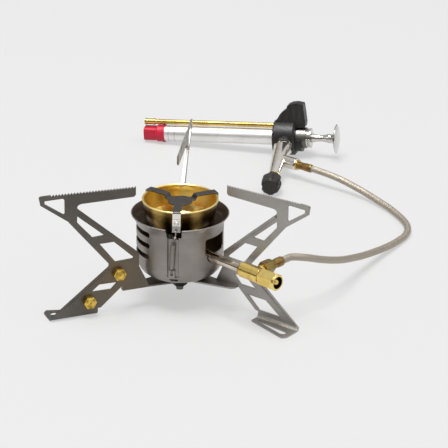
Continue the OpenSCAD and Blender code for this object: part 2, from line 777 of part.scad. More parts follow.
module fin() {
    in_pump() rotate([-6, 0, 0]) translate([0, fin_t / 2, 0]) rotate([90, 0, 0])
        linear_extrude(fin_t) polygon([[99, 9], [98.6, 13], [100.3, 15.6], [102.4, 19.3],
            [104.2, 21], [107.3, 23.1], [108.6, 26.5], [111.9, 28.1], [115.9, 28.5],
            [120.7, 27.7], [121.2, 26.5], [122.1, 18.9], [122.8, 12.4], [122.3, 9.4], [110, 8]]);
}

// The lower half of a sleeve round the collar.
module collar_skirt() {
    on_barrel(housing_x1 - 1) intersection() {
        cylinder(r = 10.8, h = 6);
        translate([-1, -12, 0]) cube([14, 24, 6]);
    }
}

module pump_housing() {
    color([0.13, 0.12, 0.12]) difference() {
        union() {
            on_barrel(housing_x0) cylinder(r1 = housing_r - 0.6, r2 = housing_r, h = 1);
            on_barrel(housing_x0 + 1) cylinder(r = housing_r, h = housing_x1 - housing_x0 - 2.5);
            on_barrel(housing_x1 - 1.5) cylinder(r1 = housing_r, r2 = 12, h = 1.5);
            fin();
            on_valve(-9) cylinder(r = 6.6, h = ring_z + 8.7);
            collar_skirt();
        }
        on_barrel(housing_x0 - 1) cylinder(r = mouth_r, h = mouth_floor - housing_x0 + 1);
        on_barrel(mouth_floor - 1) cylinder(r = rod_bore_r + 0.4, h = 20);
        on_barrel(housing_x1) cylinder(r = collar_r, h = 20);
        on_valve(-4) cylinder(r = neck_r, h = ring_z + 4);
        in_pump() translate([mouth_floor - 1, pickup_at[0], pickup_at[1]]) along_x()
            cylinder(r = pickup_r, h = pickup_len - mouth_floor + 1);
    }
}

module bottle_gasket() {
    color([0.08, 0.08, 0.08]) on_barrel(mouth_floor - 1.2) tube(mouth_r - 0.15, 11.35, 1.2);
}

module pump_barrel() {
    color([0.9, 0.9, 0.89]) on_barrel(3) tube(barrel_r, barrel_bore_r, mouth_floor - 3);
}

module barrel_end_cap() {
    color([0.78, 0.08, 0.16]) on_barrel(-8.5) difference() {
        union() {
            linear_extrude(16) lobed(5.4, 3.7, 2.6, 4);
            translate([0, 0, 9.4]) cylinder(r1 = 5.6, r2 = cap_rim_r - 0.3, h = 1.4);
            translate([0, 0, 10.8]) cylinder(r = cap_rim_r - 0.3, h = 5);
            translate([0, 0, 15]) cylinder(r = cap_rim_r, h = 1.8);
        }
        translate([0, 0, 11.5]) cylinder(r = barrel_r, h = 8);
        translate([0, 0, -1]) cylinder(r = 1.5, h = 20);
    }
}

// The fuel pickup tube beside the barrel, as sideways and upward offset from its axis.
pickup_at = [1, 9.2];
pickup_r = 2;
pickup_bore_r = 1.2;
pickup_len = 106;

module pickup_tube() {
    color([0.8, 0.62, 0.22]) in_pump() translate([0, pickup_at[0], pickup_at[1]]) along_x()
        tube(pickup_r, pickup_bore_r, pickup_len);
}

module pickup_tip() {
    color([0.82, 0.64, 0.26]) in_pump() translate([-8.2, pickup_at[0], pickup_at[1]]) along_x()
        difference() {
            union() {
                cylinder(r = 2.3, h = 8.6);
                for (x = [0, 6.8]) translate([0, 0, x]) cylinder(r = 2.6, h = 1.6);
            }
            translate([0, 0, 8.2]) cylinder(r = pickup_r, h = 2);
            translate([0, 0, -1]) cylinder(r = pickup_bore_r, h = 12, $fn = 24);
        }
}

module pump_collar() {
    color([0.7, 0.69, 0.67]) on_barrel(housing_x1) difference() {
        cylinder(r = collar_r, h = collar_end - housing_x1);
        translate([0, 0, -1]) cylinder(r = rod_bore_r, h = 20);
    }
}

module collar_ring() {
    color([0.82, 0.8, 0.77]) on_barrel(collar_end) difference() {
        union() {
            cylinder(r = 6.6, h = 3.8);
            cylinder(r = 7.4, h = 1.6);
            translate([0, 0, 2.4]) cylinder(r = 7.6, h = 1.4);
        }
        translate([0, 0, -1]) cylinder(r = rod_bore_r, h = 8);
    }
}

piston_x = 10;
knob_x = 127.1;
spool_len = 13.7;

module plunger_rod() {
    color([0.85, 0.83, 0.8]) on_barrel(piston_x + 2) cylinder(r = rod_r, h = knob_x - piston_x - 2);
}

// The waisted stem outside the collar, ending in a wide disc.
module plunger_knob() {
    r = plunger_knob_r;
    waist = [for (i = [0 : 6]) let (u = i / 3 - 1) [2.55 + 1.15 * u * u, spool_len * (u + 1) / 2]];
    color([0.85, 0.83, 0.8]) on_barrel(knob_x) rotate_extrude() polygon(concat(
        [[0, 0]], waist, [for (p = [[3.3, 1.6], [3.8, 2.8], [5.2, 3.8], [7.6, 4.6], [r - 0.5, 5.2],
            [r, 5.7], [r - 0.4, 6.3], [7.5, 7], [0, 7.2]]) [p[0], p[1] + spool_len]]));
}

module plunger_cup() {
    color([0.3, 0.2, 0.12]) on_barrel(piston_x) difference() {
        cylinder(r = barrel_bore_r - 0.05, h = 6);
        translate([0, 0, 2]) cylinder(r = rod_r, h = 5);
    }
}

windshield_cup();
pivot_bolt();
pivot_washer();
pivot_lower_washer();
pivot_nut();
burner_post();
jet_block();
jet();
burner_throat();
burner_bell();
flame_plate();
flame_spreader();
retaining_strap();
strap_rivet();
retaining_spring();
left_leg();
right_leg();
back_leg();
spare_jet_upper();
spare_jet_lower();
fuel_pipe();
pipe_sleeve();
connector_block();
end_cap_nut();
cap_plug();
union_nut();
stove_ferrule();
hose();
valve_ferrule();
valve_body();
valve_neck();
coupling_ring();
valve_gland();
valve_spindle();
valve_knob();
pump_housing();
valve_stud();
bottle_gasket();
pump_barrel();
barrel_end_cap();
pickup_tube();
pickup_tip();
pump_collar();
collar_ring();
plunger_rod();
plunger_knob();
plunger_cup();
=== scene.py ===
import json
import math

import bpy
from mathutils import Matrix, Vector


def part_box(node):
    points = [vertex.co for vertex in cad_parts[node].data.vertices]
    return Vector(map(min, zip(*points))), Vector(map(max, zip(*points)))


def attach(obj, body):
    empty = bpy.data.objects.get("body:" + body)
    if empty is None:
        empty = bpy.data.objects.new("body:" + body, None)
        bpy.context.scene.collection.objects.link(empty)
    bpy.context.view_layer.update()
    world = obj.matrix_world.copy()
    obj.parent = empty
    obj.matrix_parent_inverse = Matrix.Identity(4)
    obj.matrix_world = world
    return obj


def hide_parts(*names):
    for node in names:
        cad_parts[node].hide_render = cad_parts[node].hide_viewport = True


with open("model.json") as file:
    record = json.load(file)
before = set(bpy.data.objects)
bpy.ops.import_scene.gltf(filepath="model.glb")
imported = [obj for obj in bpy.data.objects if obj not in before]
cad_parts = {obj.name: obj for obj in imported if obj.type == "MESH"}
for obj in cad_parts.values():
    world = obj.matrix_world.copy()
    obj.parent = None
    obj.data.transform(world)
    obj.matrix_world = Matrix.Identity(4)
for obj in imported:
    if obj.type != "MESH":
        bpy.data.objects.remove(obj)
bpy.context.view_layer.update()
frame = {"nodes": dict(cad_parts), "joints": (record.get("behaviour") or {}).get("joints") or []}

MM = 0.001
nodes = frame["nodes"]
joints = {j["name"]: j for j in frame["joints"]}
scene = bpy.context.scene


# ------------------------------------------------------------------ camera
CAMERA_TARGET = (0.0299, 0, 0.0549)
CAMERA_DISTANCE = 1.7192
CAMERA_ELEVATION = 23.19  # degrees above the horizon
CAMERA_ROLL = 0.72  # degrees
CAMERA_LENS, CAMERA_SENSOR = 202.75, 36  # mm


def make_camera():
    elevation, roll = math.radians(CAMERA_ELEVATION), math.radians(CAMERA_ROLL)
    back = Vector((0, -math.cos(elevation), math.sin(elevation)))
    level = Vector((1, 0, 0))
    right = level * math.cos(roll) + back.cross(level) * math.sin(roll)
    up = back.cross(right)
    camera = bpy.data.objects.new("camera", bpy.data.cameras.new("camera"))
    scene.collection.objects.link(camera)
    camera.data.sensor_width = CAMERA_SENSOR
    camera.data.lens = CAMERA_LENS
    camera.data.clip_start, camera.data.clip_end = 0.1, 20
    axes = Matrix((right, up, back)).transposed().to_4x4()
    camera.matrix_world = Matrix.Translation(Vector(CAMERA_TARGET) + back * CAMERA_DISTANCE) @ axes
    scene.camera = camera


make_camera()


# ------------------------------------------------------------------ mesh helpers
def link_mesh(name, verts, faces, smooth=True, uvs=None):
    """A new object in the scene; uvs has one pair for each face corner, in order."""
    mesh = bpy.data.meshes.new(name)
    mesh.from_pydata([tuple(v) for v in verts], [], faces)
    if uvs:
        layer = mesh.uv_layers.new(name="uv")
        for loop in mesh.loops:
            layer.data[loop.index].uv = uvs[loop.index]
    mesh.validate()
    mesh.update()
    mesh.polygons.foreach_set("use_smooth", [smooth] * len(mesh.polygons))
    obj = bpy.data.objects.new(name, mesh)
    scene.collection.objects.link(obj)
    return obj


def catmull(points, steps):
    """Points of a smooth curve through the given ones."""
    points = [Vector(p) for p in points]
    out = []
    for i in range(len(points) - 1):
        p0 = points[i - 1] if i else points[0] * 2 - points[1]
        p1, p2 = points[i], points[i + 1]
        p3 = points[i + 2] if i + 2 < len(points) else points[-1] * 2 - points[-2]
        for k in range(steps):
            t = k / steps
            out.append(0.5 * (2 * p1 + (p2 - p0) * t + (2 * p0 - 5 * p1 + 4 * p2 - p3) * t * t
                              + (3 * p1 - p0 - 3 * p2 + p3) * t ** 3))
    out.append(points[-1])
    return out


def tube_along(name, path, radius, sides):
    """A closed tube with one ring at each path point. UV: u round it, v along it in turns of its girth."""
    n = len(path)
    verts, faces, uvs, rings = [], [], [], []
    tangent = (path[1] - path[0]).normalized()
    side = tangent.cross(Vector((0, 0, 1))).normalized()
    run = 0.0
    girth = 2 * math.pi * radius
    for i in range(n):
        tangent = (path[min(i + 1, n - 1)] - path[max(i - 1, 0)]).normalized()
        side = (side - tangent * side.dot(tangent)).normalized()
        other = tangent.cross(side)
        if i:
            run += (path[i] - path[i - 1]).length
        rings.append(run / girth)
        for k in range(sides):
            a = 2 * math.pi * k / sides
            verts.append(path[i] + radius * (math.cos(a) * side + math.sin(a) * other))
    for i in range(n - 1):
        for k in range(sides):
            j = (k + 1) % sides
            faces.append((i * sides + k, i * sides + j, (i + 1) * sides + j, (i + 1) * sides + k))
            u0, u1 = k / sides, (k + 1) / sides
            uvs += [(u0, rings[i]), (u1, rings[i]), (u1, rings[i + 1]), (u0, rings[i + 1])]
    faces.append(tuple(reversed(range(sides))))
    faces.append(tuple(range((n - 1) * sides, n * sides)))
    uvs += [(0, 0)] * (2 * sides)
    return link_mesh(name, verts, faces, uvs=uvs)


# ------------------------------------------------------------------ hose
# The same route as in part.scad, in millimetres: the two ends come from the ferrules' end faces.
HOSE_ROUTE = [tuple(c * MM for c in point) for point in [
    (76.5, -18, 39), (86, -13.4, 36.6), (95.4, -5.2, 31.8), (104, 6.4, 26.2), (112, 19.2, 20.8),
    (119.5, 33, 16), (127, 46.4, 11.8), (134.9, 59.8, 8.4), (142.6, 72.4, 5.8), (149.8, 83.8, 4),
    (156.2, 94.4, 3), (161.4, 104, 2.7), (164.2, 114, 2.7), (164.2, 124.4, 2.7),
    (161.8, 134.5, 2.7), (157.8, 145, 2.8), (152.2, 156.2, 3.2), (145, 166.9, 4),
    (137.1, 177.3, 5.3), (128.6, 185.4, 7.2), (120, 192.8, 9.2), (110.8, 199.2, 10.9)]]
HOSE_R = 0.0025
HOSE_SIDES = 24
STRAIGHT_RUN = 0.004  # of hose that leaves each ferrule along its axis
STEPS_PER_SPAN = 8
# The slabs that find a ferrule's end: thick ones first, for its direction, then thin ones for the face.
SLABS = [0.003] * 6 + [0.001] * 3 + [0.0001]


def end_ring(node, towards):
    """Centre and outward direction of the flat end face of a turned CAD node, at its end nearest a point."""
    points = [v.co.copy() for v in nodes[node].data.vertices]
    centre = sum(points, Vector()) / len(points)
    axis = (towards - centre).normalized()
    for depth in SLABS:
        top = max(p.dot(axis) for p in points)
        ring = [p for p in points if p.dot(axis) > top - depth]
        middle = sum(ring, Vector()) / len(ring)
        axis = (middle - centre).normalized()
    return middle, axis


def make_hose():
    start, out = end_ring("stove_ferrule", Vector(HOSE_ROUTE[0]))
    finish, back = end_ring("valve_ferrule", Vector(HOSE_ROUTE[-1]))
    points = [start, start + out * STRAIGHT_RUN] + HOSE_ROUTE + [finish + back * STRAIGHT_RUN, finish]
    path = catmull(points, STEPS_PER_SPAN)
    hose = tube_along("braided_hose", path, HOSE_R, HOSE_SIDES)
    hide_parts("hose")
    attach(hose, "stove")


make_hose()


# ------------------------------------------------------------------ material helpers
def map_range(tree, value, low, high, out_low, out_high):
    """Carries value from the range low to high onto out_low to out_high, smoothly and clamped."""
    n = tree.nodes.new("ShaderNodeMapRange")
    n.interpolation_type = "SMOOTHSTEP"
    tree.links.new(value, n.inputs["Value"])
    for key, v in (("From Min", low), ("From Max", high), ("To Min", out_low), ("To Max", out_high)):
        n.inputs[key].default_value = v
    return n.outputs["Result"]


class Paint:
    """Builds one principled material from nodes. Colours and patterns are in the object's own frame."""

    def __init__(self, name, rough=0.4, metal=0.0, color=(0.5, 0.5, 0.5)):
        self.material = bpy.data.materials.new(name)
        self.material.use_nodes = True
        self.tree = self.material.node_tree
        self.shader = self.tree.nodes["Principled BSDF"]
        self.shader.inputs["Roughness"].default_value = rough
        self.shader.inputs["Metallic"].default_value = metal
        self.shader.inputs["Base Color"].default_value = (*color, 1)
        self.where = self.tree.nodes.new("ShaderNodeTexCoord")
        self.bump_normal = None

    def link(self, a, b):
        self.tree.links.new(a, b)

    def plug(self, value, socket):
        """Puts a number, a colour, a vector or another node's output into a socket."""
        if isinstance(value, (int, float)):
            socket.default_value = value
        elif isinstance(value, (tuple, Vector)):
            socket.default_value = (*value, 1) if socket.type == "RGBA" else tuple(value)
        else:
            self.link(value, socket)

    def vector_math(self, op, a, b=None, output="Vector"):
        n = self.tree.nodes.new("ShaderNodeVectorMath")
        n.operation = op
        self.plug(a, n.inputs[0])
        if b is not None:
            self.plug(b, n.inputs[1])
        return n.outputs[output]

    def object_point(self, scale=(1, 1, 1)):
        m = self.tree.nodes.new("ShaderNodeMapping")
        self.link(self.where.outputs["Object"], m.inputs["Vector"])
        m.inputs["Scale"].default_value = scale
        return m.outputs["Vector"]

    def noise(self, scale, detail=3, rough=0.5, point=None, distortion=0.0):
        n = self.tree.nodes.new("ShaderNodeTexNoise")
        n.inputs["Scale"].default_value = scale
        n.inputs["Detail"].default_value = detail
        n.inputs["Roughness"].default_value = rough
        n.inputs["Distortion"].default_value = distortion
        self.link(point if point is not None else self.where.outputs["Object"], n.inputs["Vector"])
        return n.outputs["Fac"]

    def math(self, op, a, b=0.0):
        n = self.tree.nodes.new("ShaderNodeMath")
        n.operation = op
        self.plug(a, n.inputs[0])
        self.plug(b, n.inputs[1])
        return n.outputs[0]

    def times(self, a, b):
        return self.math("MULTIPLY", a, b)

    def span(self, value, low, high, out_low=0.0, out_high=1.0):
        return map_range(self.tree, value, low, high, out_low, out_high)

    def mix(self, fac, a, b):
        """The colour a where fac is 0, and b where it is 1."""
        n = self.tree.nodes.new("ShaderNodeMix")
        n.data_type = "RGBA"
        self.plug(fac, n.inputs["Factor"])
        colours = [s for s in n.inputs if s.type == "RGBA"]
        self.plug(a, colours[0])
        self.plug(b, colours[1])
        return next(s for s in n.outputs if s.type == "RGBA")

    def parts(self):
        n = self.tree.nodes.new("ShaderNodeSeparateXYZ")
        self.link(self.where.outputs["Object"], n.inputs[0])
        return n.outputs

    def outward(self):
        """Above zero where a surface round the burner's axis faces away from it."""
        flat = self.vector_math("MULTIPLY", self.where.outputs["Object"], (1, 1, 0))
        unit = self.vector_math("NORMALIZE", flat)
        return self.vector_math("DOT_PRODUCT", self.where.outputs["Normal"], unit, "Value")

    def azimuth(self):
        """Direction round the burner's axis in degrees, 0 to 360 from +X."""
        xyz = self.parts()
        turn = self.math("ARCTAN2", self.times(xyz["Y"], -1.0), self.times(xyz["X"], -1.0))
        return self.math("ADD", self.times(turn, 180 / math.pi), 180.0)

    def band(self, value, middle, half, soft):
        """1 within half of the middle value, easing to 0 over soft."""
        gap = self.math("ABSOLUTE", self.math("SUBTRACT", value, middle))
        return self.span(gap, half + soft, half)

    def off_axis(self, point, axis):
        """Distance from the line through a point along an axis."""
        away = self.vector_math("SUBTRACT", self.where.outputs["Object"], point)
        return self.vector_math("LENGTH", self.vector_math("CROSS_PRODUCT", away, axis), output="Value")

    def along(self, axis):
        return self.vector_math("DOT_PRODUCT", self.where.outputs["Object"], axis, "Value")

    def rings(self, axis):
        """Object coordinates that vary only along an axis, so that noise on them makes turned rings."""
        n = self.tree.nodes.new("ShaderNodeCombineXYZ")
        self.link(self.along(axis), n.inputs["X"])
        return n.outputs["Vector"]

    def bump(self, height, distance, strength):
        """Adds a relief of the given height in metres to whatever the surface has already."""
        n = self.tree.nodes.new("ShaderNodeBump")
        n.inputs["Strength"].default_value = strength
        n.inputs["Distance"].default_value = distance
        self.plug(height, n.inputs["Height"])
        if self.bump_normal is not None:
            self.link(self.bump_normal, n.inputs["Normal"])
        self.bump_normal = n.outputs["Normal"]
        self.link(self.bump_normal, self.shader.inputs["Normal"])

    def bevel(self, radius):
        n = self.tree.nodes.new("ShaderNodeBevel")
        n.samples = 4
        n.inputs["Radius"].default_value = radius
        return n.outputs["Normal"]

    def round_edges(self, radius):
        """Softens sharp edges in the shading, as the small radius of a real edge does."""
        self.bump_normal = self.bevel(radius)
        self.link(self.bump_normal, self.shader.inputs["Normal"])

    def edge_mask(self, radius):
        """About 1 along convex and concave edges and 0 on open faces."""
        face = self.tree.nodes.new("ShaderNodeNewGeometry").outputs["Normal"]
        return self.span(self.vector_math("DOT_PRODUCT", self.bevel(radius), face, "Value"), 0.99, 0.80)

    def color(self, value):
        self.plug(value, self.shader.inputs["Base Color"])

    def rough(self, value):
        self.plug(value, self.shader.inputs["Roughness"])


def metal(name, base, dark, rough=(0.2, 0.35), grain=None, blotch=60, edge=0.00025, line=None):
    """A worn metal: blotches of a darker tone, a grain or turned lines, and softened edges.

    rough is the range of roughness, grain a (scale, height) and line an (axis, pitch, height).
    """
    p = Paint(name, metal=1.0)
    p.round_edges(edge)
    big = p.noise(blotch, 4, 0.6)
    fine = p.noise(blotch * 22, 3, 0.6)
    p.color(p.mix(p.span(big, 0.38, 0.66), base, dark))
    p.rough(p.span(p.math("ADD", p.times(big, 0.6), p.times(fine, 0.4)), 0.3, 0.7, *rough))
    if line:
        axis, pitch, height = line
        p.bump(p.noise(1 / pitch, 2, 0.6, point=p.rings(axis)), height, 0.6)
    elif grain:
        scale, height = grain
        p.bump(p.noise(scale, 3, 0.6), height, 0.5)
    return p


def give(paint, *names):
    for name in names:
        mesh = nodes[name].data if name in nodes else bpy.data.objects[name].data
        mesh.materials.clear()
        mesh.materials.append(paint.material)


pump_axis = Vector(joints["plunger_slide"]["axis"])


def middle_of(name):
    low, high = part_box(name)
    return (Vector(low) + Vector(high)) / 2


cap_middle = middle_of("end_cap_nut")
line_axis = Vector((cap_middle.x, cap_middle.y, 0)).normalized()  # along the fuel pipe, outwards

# Each metal's noise and relief sizes: blotches and grain as noise scales, heights in metres.
SMOOTH_GRAIN = (900, 0.00001)
DULL_GRAIN = (1500, 0.00003)
PITTED_GRAIN = (1500, 0.00004)
TURNED = 0.00001  # height of turned lines


# ------------------------------------------------------------------ materials
def paint_cup():
    """Brushed grey steel with a faint heat tint outside, browned and sooty inside."""
    p = Paint("spun_steel", metal=1.0)
    p.round_edges(0.0003)
    blotch = p.noise(38, 4, 0.6)
    grey = p.mix(p.span(blotch, 0.3, 0.7), (0.335, 0.31, 0.285), (0.27, 0.248, 0.228))
    skin = p.mix(p.span(p.noise(14, 3, 0.5), 0.5, 0.75, 0, 0.35), grey, (0.29, 0.24, 0.185))
    sooty = p.mix(p.span(blotch, 0.35, 0.7), (0.20, 0.145, 0.098), (0.13, 0.09, 0.058))
    p.color(p.mix(p.span(p.outward(), -0.35, 0.0), sooty, skin))
    brushed, fine = p.object_point((0.03, 0.03, 1)), p.object_point((0.02, 0.02, 1))
    p.rough(p.span(p.noise(900, 2, 0.5, point=brushed), 0.3, 0.7, 0.36, 0.46))
    p.bump(p.noise(2600, 2, 0.6, point=fine), 0.00002, 0.5)
    give(p, "windshield_cup")


def leg_paint(name, light, dark, edge, tint=None, tint_at=None):
    """Stamped plate with edges in a colour of their own, painted light on a dark plate and painted shade on a
    pale one, and a brown tint round a point if one is given.
    """
    p = Paint(name, metal=1.0)
    p.round_edges(0.00025)
    blotch = p.noise(30, 5, 0.62)
    tone = p.mix(p.span(blotch, 0.3, 0.7), light, dark)
    if tint_at is not None:
        away = p.vector_math("DISTANCE", p.where.outputs["Object"], tint_at, "Value")
        near = p.span(p.math("ADD", away, p.times(blotch, 0.02)), 0.05, 0.012)
        tone = p.mix(p.times(near, 0.6), tone, tint)
    # The edge colour is painted: lighter on the dark leg, which is a painted highlight, and darker on the pale
    # legs, which is painted shade.
    p.color(p.mix(p.times(p.edge_mask(0.0005), 0.6), tone, edge))
    grain = p.noise(1400, 3, 0.6)
    p.rough(p.span(grain, 0.3, 0.7, 0.36, 0.52))
    p.bump(grain, 0.00003, 0.6)
    return p


def paint_legs():
    # One stamped steel in two copies: the dark copy on the left leg is painted shade, and the pale copy on the
    # right and back legs is painted light.
    give(leg_paint("stamped_steel_painted_shade", (0.155, 0.143, 0.127), (0.115, 0.105, 0.092), (0.20, 0.185, 0.165),
                   (0.19, 0.14, 0.085), middle_of("spare_jet_upper")), "left_leg")
    give(leg_paint("stamped_steel_painted_light", (0.43, 0.41, 0.385), (0.34, 0.32, 0.295), (0.16, 0.15, 0.135)),
         "right_leg", "back_leg")


def paint_spreader():
    """Dark and finely pitted on top, bright where the front lug turns down."""
    p = Paint("oxidised_steel", metal=1.0)
    p.round_edges(0.0003)
    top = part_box("flame_spreader")[1][2]
    at = p.parts()
    lug = p.times(p.span(at["Z"], top - 0.0009, top - 0.0014), p.span(at["Y"], -0.0245, -0.0255))
    pits = p.noise(900, 3, 0.7)
    oxide = p.mix(p.span(pits, 0.35, 0.68), (0.125, 0.118, 0.112), (0.055, 0.05, 0.048))
    worn = p.mix(p.times(p.edge_mask(0.0005), 0.75), oxide, (0.34, 0.32, 0.30))
    p.color(p.mix(lug, worn, (0.80, 0.77, 0.72)))
    p.rough(p.mix(lug, (0.42, 0.42, 0.42), (0.2, 0.2, 0.2)))
    p.bump(pits, 0.00006, 0.7)
    give(p, "flame_spreader", "flame_plate")


def paint_steels():
    give(metal("dull_steel", (0.16, 0.15, 0.14), (0.08, 0.074, 0.068), (0.35, 0.5), grain=DULL_GRAIN),
         "pivot_bolt", "pivot_washer", "burner_post", "burner_throat")
    give(metal("blackened_steel", (0.03, 0.028, 0.026), (0.015, 0.014, 0.013), (0.4, 0.55), grain=DULL_GRAIN),
         "pivot_lower_washer", "pivot_nut")
    give(metal("polished_steel", (0.80, 0.77, 0.73), (0.62, 0.58, 0.53), (0.12, 0.28), grain=SMOOTH_GRAIN),
         "retaining_strap", "strap_rivet", "valve_spindle")
    coil_pitch = 0.0008
    coil = metal("spring_wire", (0.33, 0.305, 0.275), (0.22, 0.20, 0.18), (0.42, 0.55))
    coil.bump(coil.math("SINE", coil.times(coil.parts()["Z"], 2 * math.pi / coil_pitch)), 0.0002, 0.6)
    give(coil, "retaining_spring")


def paint_nickels():
    give(metal("nickel_valve", (0.83, 0.79, 0.73), (0.70, 0.64, 0.57), (0.06, 0.16), edge=0.0005),
         "valve_body", "coupling_ring", "valve_stud")
    give(metal("nickel_sleeve", (0.76, 0.67, 0.56), (0.60, 0.51, 0.41), (0.07, 0.14),
               line=(line_axis, 0.0012, TURNED)), "pipe_sleeve")
    give(metal("nickel_pump", (0.74, 0.72, 0.69), (0.60, 0.58, 0.54), (0.05, 0.13), edge=0.0006),
         "plunger_rod", "plunger_knob", "collar_ring")
    give(metal("satin_nickel", (0.27, 0.255, 0.24), (0.19, 0.18, 0.168), (0.32, 0.45),
               line=(pump_axis, 0.0012, TURNED)), "pump_collar")


def paint_brasses():
    give(metal("bright_brass", (0.90, 0.68, 0.22), (0.72, 0.48, 0.12), (0.16, 0.3), blotch=120, edge=0.0004,
               line=(line_axis, 0.0005, TURNED)), "connector_block", "cap_plug")
    give(metal("jet_brass", (0.78, 0.54, 0.11), (0.38, 0.22, 0.04), (0.28, 0.45), blotch=220, edge=0.0004,
               grain=PITTED_GRAIN), "spare_jet_upper", "spare_jet_lower", "jet")
    give(metal("tube_brass", (0.66, 0.47, 0.15), (0.48, 0.31, 0.08), (0.2, 0.32),
               line=(pump_axis, 0.004, TURNED)), "pickup_tube", "pickup_tip")
    give(metal("dark_brass", (0.34, 0.235, 0.08), (0.20, 0.13, 0.04), (0.2, 0.38), blotch=150, edge=0.0004),
         "union_nut", "fuel_pipe", "jet_block")
    give(metal("gland_brass", (0.80, 0.58, 0.18), (0.55, 0.36, 0.10), (0.2, 0.32)), "valve_gland", "valve_neck")
    for name, far in (("stove_ferrule", HOSE_ROUTE[0]), ("valve_ferrule", HOSE_ROUTE[-1])):
        axis = end_ring(name, Vector(far))[1]
        give(metal("crimped_" + name, (0.33, 0.205, 0.07), (0.20, 0.12, 0.04), (0.28, 0.42), blotch=180,
                   edge=0.0004, line=(axis, 0.0016, 0.00008)), name)


def paint_hex_cap():
    """Bright brass, with painted shade in the bore round its plug."""
    bore = 0.0041
    p = metal("bright_brass_cap", (0.90, 0.70, 0.25), (0.76, 0.54, 0.15), (0.14, 0.26), blotch=120, edge=0.0004,
              line=(line_axis, 0.0005, TURNED))
    tone = p.shader.inputs["Base Color"].links[0].from_socket
    # Painted shade: the bore round the plug is coloured a near-black brown.
    p.color(p.mix(p.span(p.off_axis(cap_middle, line_axis), bore + 0.0004, bore), tone, (0.10, 0.055, 0.018)))
    give(p, "end_cap_nut")


def paint_bell():
    """Brass: bright and mottled inside, with a band of painted shade and a painted highlight on its upper wall,
    dark outside with two golden painted highlights, and a brighter band at the rim.

    Directions round the bell are in degrees from +X, so 270 is the front; heights are above the ground.
    """
    p = Paint("spun_brass", metal=1.0)
    p.round_edges(0.0003)
    height = p.parts()["Z"]
    around = p.azimuth()
    outside = p.span(p.outward(), -0.05, 0.1)
    blots = p.noise(70, 4, 0.6, distortion=0.8)
    clouds = p.noise(26, 3, 0.5)

    gold = p.mix(p.span(clouds, 0.35, 0.65), (1.0, 0.82, 0.29), (0.95, 0.72, 0.21))
    low_wall = p.math("ADD", p.times(p.span(height, 0.070, 0.060), 0.88), 0.12)
    inside = p.mix(p.times(p.span(blots, 0.40, 0.66), low_wall), gold, (0.58, 0.25, 0.04))
    # Painted shade in a band on the upper inside wall round 115 degrees, and a painted highlight in a band
    # round 62 degrees.
    upper_wall = p.span(height, 0.058, 0.066)
    shade = p.times(p.band(around, 115.0, 9.0, 14.0), upper_wall)
    inside = p.mix(p.times(shade, 0.8), inside, (0.34, 0.20, 0.045))
    light = p.times(p.band(around, 62.0, 20.0, 18.0), upper_wall)
    inside = p.mix(p.times(light, 0.7), inside, (1.0, 0.96, 0.66))

    # Two painted highlights: golden vertical stripes on the dark outside at 234 and 298 degrees, either side of
    # the front.
    painted_highlights = p.math("MAXIMUM", p.band(around, 234.0, 2.0, 15.0), p.band(around, 298.0, 2.0, 13.0))
    painted_highlights = p.times(painted_highlights, p.span(blots, 0.30, 0.62, 1.0, 0.55))
    brown = p.mix(p.span(clouds, 0.4, 0.65), (0.085, 0.045, 0.014), (0.15, 0.085, 0.025))
    outer = p.mix(p.times(painted_highlights, 0.85), brown, (0.85, 0.58, 0.15))

    rim = p.span(height, 0.0721, 0.0729)
    p.color(p.mix(rim, p.mix(outside, inside, outer), (0.95, 0.76, 0.30)))
    # The painted highlights are a little less metallic, so that they stay golden where they mirror only the
    # dark cup.
    p.plug(p.math("SUBTRACT", 1.0, p.times(p.times(outside, painted_highlights), 0.7)), p.shader.inputs["Metallic"])
    p.rough(p.span(clouds, 0.35, 0.65, 0.28, 0.38))
    p.bump(p.noise(1800, 2, 0.6, point=p.object_point((0.02, 0.02, 1))), 0.000008, 0.5)
    give(p, "burner_bell")


def paint_braid():
    """Two sets of crossing helical strands, laid by the hose's UV."""
    strands_round = 12.0
    p = Paint("steel_braid", metal=1.0)
    uv = p.tree.nodes.new("ShaderNodeSeparateXYZ")
    p.link(p.where.outputs["UV"], uv.inputs[0])

    def strands(direction):
        phase = p.math("ADD", p.times(uv.outputs["X"], strands_round),
                       p.times(uv.outputs["Y"], strands_round * direction))
        return p.times(p.math("ADD", p.math("SINE", p.times(phase, 2 * math.pi)), 1.0), 0.5)

    weave = p.math("MAXIMUM", strands(1), strands(-1))
    p.color(p.mix(weave, (0.20, 0.17, 0.13), (0.56, 0.50, 0.42)))
    p.rough(p.span(weave, 0.2, 1.0, 0.65, 0.46))
    p.bump(weave, 0.00018, 0.9)
    give(p, "braided_hose")


def plastic(name, base, worn, rough, grain=1200):
    p = Paint(name)
    p.round_edges(0.0006)
    p.color(p.mix(p.span(p.noise(45, 4, 0.6), 0.35, 0.7), base, worn))
    p.rough(p.span(p.noise(grain / 3, 3, 0.6), 0.3, 0.7, rough - 0.06, rough + 0.08))
    p.bump(p.noise(grain, 2, 0.5), 0.00003, 0.5)
    return p


def paint_plastics():
    give(plastic("black_moulding", (0.007, 0.006, 0.006), (0.013, 0.011, 0.010), 0.40), "valve_knob")
    give(plastic("red_moulding", (0.55, 0.006, 0.035), (0.47, 0.005, 0.028), 0.42), "barrel_end_cap")
    give(plastic("black_rubber", (0.012, 0.012, 0.012), (0.02, 0.02, 0.02), 0.6), "bottle_gasket")
    give(plastic("oiled_leather", (0.10, 0.045, 0.02), (0.06, 0.028, 0.012), 0.55, grain=700), "plunger_cup")


